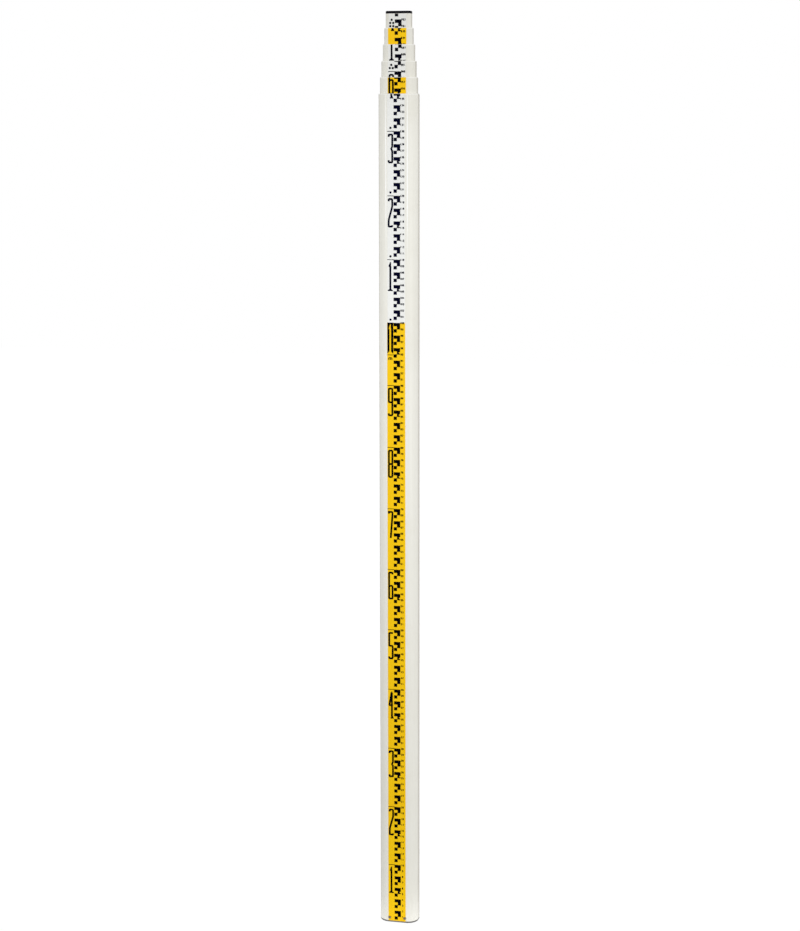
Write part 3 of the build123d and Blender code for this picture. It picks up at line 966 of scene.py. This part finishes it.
class STAFF_OT_draw_edges(bpy.types.Operator):
    """Draw the painted highlight lines beside the strip of the outer tube"""

    bl_idname = "staff.draw_edges"
    bl_label = "Edge lines"

    def execute(self, context):
        sizes = context.scene.staff_print
        tubes = context.scene.staff_tubes
        corner = tubes.corner
        low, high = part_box("section_1_tube")
        solids = []
        for side in (-1, 1):
            nearest = sizes.edge_centre + side * sizes.edge_shift - sizes.edge_width / 2 - high.x + corner
            steps = [nearest + sizes.edge_width * step / EDGE_FACETS for step in range(EDGE_FACETS + 1)]
            arc = sorted(side * math.asin(across / corner) for across in steps)
            outline = []
            for radius, path in ((corner + sizes.edge_layer, arc), (corner - sizes.root, reversed(arc))):
                outline += [(side * (high.x - corner) + radius * math.sin(turn),
                             low.y + corner - radius * math.cos(turn)) for turn in path]
            solids.append(prism(outline, sizes.edge_middle - sizes.edge_reach, high.z - tubes.rim))
        lines = made("section_1_edge_lines", solids, painted_highlight_white())
        settle(lines, "section_1", "scale_film")
        return {"FINISHED"}


def print_mark(number, kind, tree, material, **values):
    """Print one kind of mark on a section."""
    sizes = bpy.context.scene.staff_print
    low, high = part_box(f"section_{number}_scale")
    outside = number == SECTIONS[0]
    piece = grow(f"section_{number}_{kind}", tree, {
        "lower": low.z, "upper": high.z, "reading": reading_at_floor(number), "front": low.y,
        "drift": sizes.drift[number - 1], "bow": sizes.bow if outside else 0.0, "layer": sizes.ink,
        "fade": FADED_OUTSIDE if outside else FADED_INSIDE, "material": material, **values}, sizes)
    settle(piece, f"section_{number}", "scale_film")


def print_black(kind, tree, **values):
    """Print one kind of black mark on every section."""
    for number in SECTIONS:
        print_mark(number, kind, tree, black_ink(), **values)


class STAFF_OT_print_graduations(bpy.types.Operator):
    """Print the centimetre blocks"""

    bl_idname = "staff.print_graduations"
    bl_label = "Centimetre blocks"

    def execute(self, context):
        notched = notched_block(context.scene.staff_print)
        print_black("graduations", graduation_tree(), notched=notched)
        removed(notched)
        return {"FINISHED"}


class STAFF_OT_print_numerals(bpy.types.Operator):
    """Print the large decimetre numerals"""

    bl_idname = "staff.print_numerals"
    bl_label = "Decimetre numerals"

    def execute(self, context):
        sizes = context.scene.staff_print
        glyphs = make_glyphs("decimetre_numeral", NUMERAL_STROKES, NUMERAL_WEDGES, NUMERAL_FACETS,
                             sizes.numeral_width, sizes.numeral_height, sizes.numeral_stroke,
                             sizes.ink + sizes.root)
        print_black("numerals", numeral_tree(), step=DECIMETRE, glyphs=glyphs)
        discard(glyphs)
        return {"FINISHED"}


class STAFF_OT_print_decimetres(bpy.types.Operator):
    """Print the decimetre lines and the metre dots"""

    bl_idname = "staff.print_decimetres"
    bl_label = "Decimetre lines and dots"

    def execute(self, context):
        print_black("decimetre_marks", decimetre_tree())
        return {"FINISHED"}


class STAFF_OT_print_small_numbers(bpy.types.Operator):
    """Print the small centimetre numbers"""

    bl_idname = "staff.print_small_numbers"
    bl_label = "Centimetre numbers"

    def execute(self, context):
        sizes = context.scene.staff_print
        glyphs = make_glyphs("small_digit", SMALL_STROKES, {}, SMALL_FACETS, sizes.small_width,
                             sizes.small_height, sizes.small_stroke, sizes.ink + sizes.root)
        print_black("small_numbers", small_number_tree(), glyphs=glyphs)
        discard(glyphs)
        return {"FINISHED"}


class STAFF_OT_print_metres(bpy.types.Operator):
    """Print the metre marks: black blocks with light numerals, and the unit"""

    bl_idname = "staff.print_metres"
    bl_label = "Metre marks"

    def execute(self, context):
        sizes = context.scene.staff_print
        tree = metre_tree()
        light_tree = numeral_tree()
        unit = make_glyph("unit", stroke_tree(), UNIT_STROKES, [], UNIT_FACETS, sizes.unit_width,
                          sizes.unit_height, sizes.unit_stroke, sizes.ink + sizes.root)
        glyphs = make_glyphs("metre_numeral", NUMERAL_STROKES, NUMERAL_WEDGES, NUMERAL_FACETS,
                             sizes.block_width - 2 * sizes.block_margin, sizes.block_height - sizes.block_bar,
                             sizes.block_stroke, sizes.reverse + sizes.root)
        for number in SECTIONS:
            low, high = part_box(f"section_{number}_scale")
            reading = reading_at_floor(number)
            metres = range(math.ceil(low.z + reading), math.ceil(high.z + reading))
            if not any(metres):
                continue
            print_mark(number, "metre_marks", tree, black_ink(), unit=unit)
            for metre in filter(None, metres):
                ground = white_film() if metre % 2 == 0 else yellow_ink()
                print_mark(
                    number, f"metre_numeral_{metre}", light_tree, ground, layer=sizes.reverse, step=METRE,
                    lower=metre - reading - sizes.block_height, upper=metre - reading, glyphs=glyphs,
                    numeral_left=sizes.block_left + sizes.block_margin, numeral_drop=sizes.block_bar)
        discard(glyphs)
        removed(unit)
        return {"FINISHED"}


# Finishes

def linear(name):
    """A colour of the settings as the shader's four numbers."""
    plain = Color(getattr(bpy.context.scene.staff_colours, name)).from_srgb_to_scene_linear()
    return (plain.r, plain.g, plain.b, 1.0)


def ramp(value, low, high, first=0.0, last=1.0, shape="LINEAR"):
    """A value carried from one range to another and held at the ends."""
    return add(value.tree, "ShaderNodeMapRange", {
        "Value": value, "From Min": low, "From Max": high, "To Min": first, "To Max": last},
        interpolation_type=shape)


def blend(share, first, second):
    """Two colours mixed by a share."""
    return add(share.tree, "ShaderNodeMix", {0: share, MIX_FIRST: first, MIX_SECOND: second},
               data_type="RGBA")[MIX_RESULT]


def attribute(tree, name):
    """A number that the shape carries."""
    return add(tree, "ShaderNodeAttribute", attribute_name=name)["Fac"]


def noise(place, scale, detail, **more):
    """A cloudy pattern, from 0 to 1."""
    return add(place.tree, "ShaderNodeTexNoise", {"Vector": place, "Scale": scale, "Detail": detail, **more})


def streaks(ports):
    """Noise drawn out along the staff, from 0 to 1."""
    drawn = add(ports.tree, "ShaderNodeVectorMath", {0: ports.place, 1: vector(1, 1, ports.stretch)},
                operation="MULTIPLY")
    return ramp(noise(drawn, ports.scale, STREAK_DETAIL), STREAK_FROM, STREAK_TO)


def patches(ports):
    """Soft patches where the noise is above a level, from 0 to 1."""
    clouds = noise(ports.place, ports.scale, PATCH_DETAIL, Roughness=PATCH_ROUGHNESS,
                   Distortion=PATCH_DISTORTION)
    return ramp(clouds, ports.level, ports.level + ports.soft, shape="SMOOTHSTEP")


def ground_dust(ports):
    """Dust that thins out upwards from the floor, from 0 to 1."""
    height = add(ports.tree, "ShaderNodeSeparateXYZ", {0: ports.place})["Z"]
    thinning = ramp(height, 0.0, ports.reach, 1.0, 0.0, "SMOOTHSTEP")
    return thinning * noise(ports.place, DUST_GRAIN, DUST_DETAIL)


def effect(name, build, place, **inputs):
    """Place a shared effect in a material. Its group is made the first time."""
    group = bpy.data.node_groups.get(name)
    if not group:
        sockets = {"Vector": ["place"], "Float": inputs}
        ports = new_group(name, "ShaderNodeTree", sockets, {"Float": ["share"]})
        group = ports.tree
        add(group, "NodeGroupOutput", {"share": build(ports)})
    return add(place.tree, "ShaderNodeGroup", {"place": place, **inputs}, node_tree=group)


def surface(name, base, shade, lines, spots, roughness, bump=0.0, metallic=0.0, shine=0.5, grime=None,
            dust=0.0, rubbed=None, turn=0.0, top_shade=0.0, highlight_band=None, faded=None):
    """A finish: a colour with mottling and streaks, uneven gloss, fine relief, dirt, faded ink, painted shade
    and painted highlights.

    Lines are (scale, stretch), spots are (scale, level) and roughness is (on the base, on the shade).
    """
    if name in bpy.data.materials:
        return bpy.data.materials[name]
    material = bpy.data.materials.new(name)
    material.use_nodes = True
    tree = material.node_tree
    shader = tree.nodes["Principled BSDF"].inputs
    place = add(tree, "ShaderNodeTexCoord")["Object"]
    height = add(tree, "ShaderNodeSeparateXYZ", {0: place})["Z"]
    drawn = effect("Drawn streaks", streaks, place, scale=lines[0], stretch=lines[1])
    spotted = effect("Soft patches", patches, place, scale=spots[0], level=spots[1], soft=PATCH_SOFT)
    shares = drawn * STREAK_SHARE + spotted * PATCH_SHARE
    layers = []
    if faded:
        layers.append((attribute(tree, FADED), faded))
    if dust:
        layers.append((effect("Ground dust", ground_dust, place, reach=DUST_REACH) * dust, grime))
    # Painted shade on the sides that turn away from view
    if turn:
        facing = add(tree, "ShaderNodeLayerWeight", {"Blend": SIDE_SHADE_BLEND})["Facing"]
        layers.append((ramp(facing, SIDE_SHADE_FROM, SIDE_SHADE_TO, last=turn, shape="SMOOTHSTEP"), grime))
    # Painted shade towards the top
    if top_shade:
        layers.append((ramp(height, TOP_SHADE_FROM, TOP_SHADE_TO, last=top_shade), grime))
    # Painted highlight along each tube's mouth
    if rubbed:
        layers.append((ramp(attribute(tree, MOUTH), HIGHLIGHT_RIM / 2, HIGHLIGHT_RIM, HIGHLIGHT_RIM_SHARE, 0.0), rubbed))
    # Painted highlight of the white lines, fading away from its middle height
    if highlight_band:
        centre, reach = highlight_band
        layers.append((ramp(abs(height - centre), reach * HIGHLIGHT_FULL_SHARE, reach, shape="SMOOTHSTEP"), grime))
    colour = blend(shares, linear(base), linear(shade))
    for share, over in layers:
        colour = blend(share, colour, linear(over))
    join(shader["Base Color"], colour)
    join(shader["Roughness"], ramp(shares, 0.0, 1.0, *roughness))
    shader["Metallic"].default_value = metallic
    shader["Specular IOR Level"].default_value = shine
    if bump:
        relief = add(tree, "ShaderNodeBump", {"Height": drawn, "Distance": bump, "Strength": RELIEF})
        join(shader["Normal"], relief)
    return material


def gel_coat():
    """Ivory gel coat over pulled glass fibre: faint lines, a painted highlight on the rim, dust, and painted
    shade on the turned sides and towards the top.
    """
    return surface("Gel coat", "tube", "tube_shade", (620, 0.012), (9, 0.42), (0.30, 0.42), bump=0.02 * MM,
                   shine=0.15, grime="grime", dust=0.05, rubbed="edge", turn=0.62, top_shade=0.2)


def white_film():
    """Cool white film of the printed strip, with painted shade towards the top."""
    return surface("Printed film", "film", "film_shade", (380, 0.05), (16, 0.45), (0.36, 0.46),
                   bump=0.01 * MM, shine=0.2, grime="grime", top_shade=0.2)


def yellow_ink():
    """Yellow screen ink, a little uneven."""
    return surface("Yellow ink", "yellow", "yellow_shade", (240, 0.06), (11, 0.42), (0.38, 0.50),
                   bump=0.01 * MM, shine=0.08)


def black_ink():
    """Black screen ink that fades to blue."""
    return surface("Black ink", "black", "black_shade", (900, 0.4), (60, 0.5), (0.40, 0.55), bump=0.01 * MM,
                   shine=0.01, faded="faded")


def painted_highlight_white():
    """White lines beside the strip as a painted highlight, fading away towards their ends."""
    sizes = bpy.context.scene.staff_print
    return surface("Edge white", "edge", "edge", (380, 0.05), (30, 0.6), (0.36, 0.46), shine=0.2,
                   grime="tube", highlight_band=(sizes.edge_middle, sizes.edge_reach))


def cap_plastic():
    """Black moulded plastic with a fine grain."""
    return surface("Cap plastic", "cap", "black_shade", (2600, 1.0), (120, 0.5), (0.45, 0.6), bump=0.05 * MM,
                   shine=0.05)


def plug_nylon():
    """Dark nylon, rubbed by sliding."""
    return surface("Plug nylon", "plug", "cap", (900, 0.15), (70, 0.48), (0.42, 0.6), bump=0.03 * MM)


def foot_steel():
    """Dark worn steel with ground-in dirt."""
    return surface("Foot steel", "foot", "plug", (520, 1.0), (130, 0.5), (0.34, 0.62), bump=0.04 * MM,
                   metallic=0.5, grime="grime", dust=0.35)


def bright_metal():
    """Bright turned metal, with painted shade on the sides that turn away from view."""
    return surface("Bright metal", "bright", "foot", (1800, 0.3), (260, 0.55), (0.22, 0.4), bump=0.01 * MM,
                   metallic=1.0, grime="plug", turn=0.8)


def rivet_metal():
    """Brownish metal, kept dark as painted shade of the domed heads, with painted shade on the sides that
    turn away from view.
    """
    return surface("Rivet metal", "rivet", "foot", (1800, 0.3), (260, 0.5), (0.25, 0.45), bump=0.01 * MM,
                   metallic=0.9, grime="plug", turn=0.85)


def spring_steel():
    """Drawn spring wire."""
    return surface("Spring steel", "foot", "bright", (2400, 1.0), (300, 0.5), (0.25, 0.4), bump=0.005 * MM,
                   metallic=1.0)


class STAFF_OT_finish_parts(bpy.types.Operator):
    """Finish the strips, plugs, buttons, springs, pins, cap and foot"""

    bl_idname = "staff.finish_parts"
    bl_label = "Finishes"

    def execute(self, context):
        finishes = {
            "_scale": white_film, "_plug": plug_nylon, "_pins": bright_metal, "_lock_button": bright_metal,
            "_lock_spring": spring_steel, "foot_plate": foot_steel, "foot_screws": bright_metal,
            "foot_rivets": rivet_metal, "top_cap": cap_plastic, "_tube": gel_coat}
        for name, node in frame["nodes"].items():
            endings = [ending for ending in finishes if name.endswith(ending)]
            if not endings:
                raise RuntimeError(f"{name} has no finish")
            node.data.materials.clear()
            node.data.materials.append(finishes[endings[0]]())
        return {"FINISHED"}


# Stage

def sees_background(tree):
    """1 for rays that show the background itself: straight from the camera, mirrored or through glass."""
    path = add(tree, "ShaderNodeLightPath")
    shown = path["Is Camera Ray"]
    for ray in ("Is Glossy Ray", "Is Transmission Ray"):
        shown = add(tree, "ShaderNodeMath", {0: shown, 1: path[ray]}, operation="MAXIMUM")
    return shown


def white_world(ambient):
    """Even soft light, seen as plain white."""
    world = bpy.data.worlds.new("White studio")
    world.use_nodes = True
    tree = world.node_tree
    tree.nodes.clear()
    light, white = [add(tree, "ShaderNodeBackground", {"Color": (1, 1, 1, 1), "Strength": strength})
                    for strength in (ambient, 1.0)]
    mixed = add(tree, "ShaderNodeMixShader", {0: sees_background(tree), 1: light, 2: white})
    add(tree, "ShaderNodeOutputWorld", {"Surface": mixed})
    return world


def white_floor():
    """Floor that looks white and still takes a faint shadow."""
    material = bpy.data.materials.new("White floor")
    material.use_nodes = True
    tree = material.node_tree
    tree.nodes.clear()
    matt = add(tree, "ShaderNodeBsdfDiffuse", {"Color": (FLOOR_GREY, FLOOR_GREY, FLOOR_GREY, 1)})
    white = add(tree, "ShaderNodeEmission", {"Color": (1, 1, 1, 1), "Strength": FLOOR_GLOW})
    mixed = add(tree, "ShaderNodeMixShader", {0: sees_background(tree) * FLOOR_WHITE, 1: matt, 2: white})
    add(tree, "ShaderNodeOutputMaterial", {"Surface": mixed})
    return material


def add_lamp(name, place, aim, size, energy):
    """A square soft lamp that looks at a point."""
    light = bpy.data.lights.new(name, "AREA")
    light.size = size
    light.energy = energy
    lamp = placed(name, light)
    lamp.location = place
    lamp.rotation_euler = (Vector(aim) - Vector(place)).to_track_quat("-Z", "Y").to_euler()
    return lamp


def beside(distance, azimuth, height):
    """A point at this height, this far from the staff's axis and turned to its right."""
    return Vector((distance * math.sin(azimuth), -distance * math.cos(azimuth), height))


class STAFF_OT_set_stage(bpy.types.Operator):
    """Set the white floor, the soft light and the camera"""

    bl_idname = "staff.set_stage"
    bl_label = "Stage"

    def execute(self, context):
        stage = context.scene.staff_stage
        scene = context.scene
        scene.view_settings.view_transform = "Standard"
        scene.world = white_world(stage.ambient)
        half = stage.floor / 2
        corners = [(-half, -half), (half, -half), (half, half), (-half, half)]
        sheet = [(x, y, -FLOOR_DROP) for x, y in corners]
        floor = made("floor", [(sheet, [range(len(sheet))])], white_floor())
        for name in ("key", "near"):
            distance, azimuth, height, size = [
                getattr(stage, f"{name}_{what}") for what in ("distance", "azimuth", "height", "size")]
            place = beside(distance, azimuth, height)
            add_lamp(f"{name}_lamp", place, (0, 0, height), size, getattr(stage, name))
        glow = add_lamp("floor_glow", (0, 0, 0), (0, 0, 1), stage.glow_size, stage.glow)
        glow.data.shape = "DISK"
        camera = placed("camera", bpy.data.cameras.new("camera"))
        camera.data.sensor_width = SENSOR
        camera.data.lens = stage.lens
        camera.location = beside(stage.distance, stage.azimuth, stage.height)
        heading = Euler((math.radians(90) - stage.tilt, 0, stage.azimuth - stage.pan), "XYZ").to_matrix()
        camera.rotation_euler = (heading @ Euler((0, 0, stage.roll)).to_matrix()).to_euler()
        scene.camera = camera
        return {"FINISHED"}


OPERATORS = (STAFF_OT_make_tubes, STAFF_OT_print_fields, STAFF_OT_draw_edges, STAFF_OT_print_graduations,
             STAFF_OT_print_numerals, STAFF_OT_print_decimetres, STAFF_OT_print_small_numbers,
             STAFF_OT_print_metres, STAFF_OT_finish_parts, STAFF_OT_set_stage)
SETTINGS = {"staff_tubes": StaffTubeSizes, "staff_print": StaffPrintSizes,
            "staff_colours": StaffFinishColours, "staff_stage": StaffStageSizes}


class STAFF_PT_panel(bpy.types.Panel):
    """Steps and settings of the staff"""

    bl_idname = "STAFF_PT_panel"
    bl_label = "Leveling staff"
    bl_space_type = "VIEW_3D"
    bl_region_type = "UI"
    bl_category = "Staff"

    def draw(self, context):
        for operator in OPERATORS:
            self.layout.operator(operator.bl_idname)
        for name, group in SETTINGS.items():
            box = self.layout.box()
            for key in group.__annotations__:
                box.prop(getattr(context.scene, name), key)


CLASSES = (*SETTINGS.values(), *OPERATORS, STAFF_PT_panel)


def register():
    """Add the classes and the scene's settings."""
    for item in CLASSES:
        bpy.utils.register_class(item)
    for name, group in SETTINGS.items():
        setattr(bpy.types.Scene, name, PointerProperty(type=group))


def unregister():
    """Take the settings and the classes away again."""
    for name in SETTINGS:
        delattr(bpy.types.Scene, name)
    for item in reversed(CLASSES):
        bpy.utils.unregister_class(item)


def main():
    """Dress the staff and set the stage."""
    register()
    bpy.ops.staff.make_tubes()
    bpy.ops.staff.print_fields()
    bpy.ops.staff.draw_edges()
    bpy.ops.staff.print_graduations()
    bpy.ops.staff.print_numerals()
    bpy.ops.staff.print_decimetres()
    bpy.ops.staff.print_small_numbers()
    bpy.ops.staff.print_metres()
    bpy.ops.staff.finish_parts()
    bpy.ops.staff.set_stage()


if __name__ == "__main__":
    main()
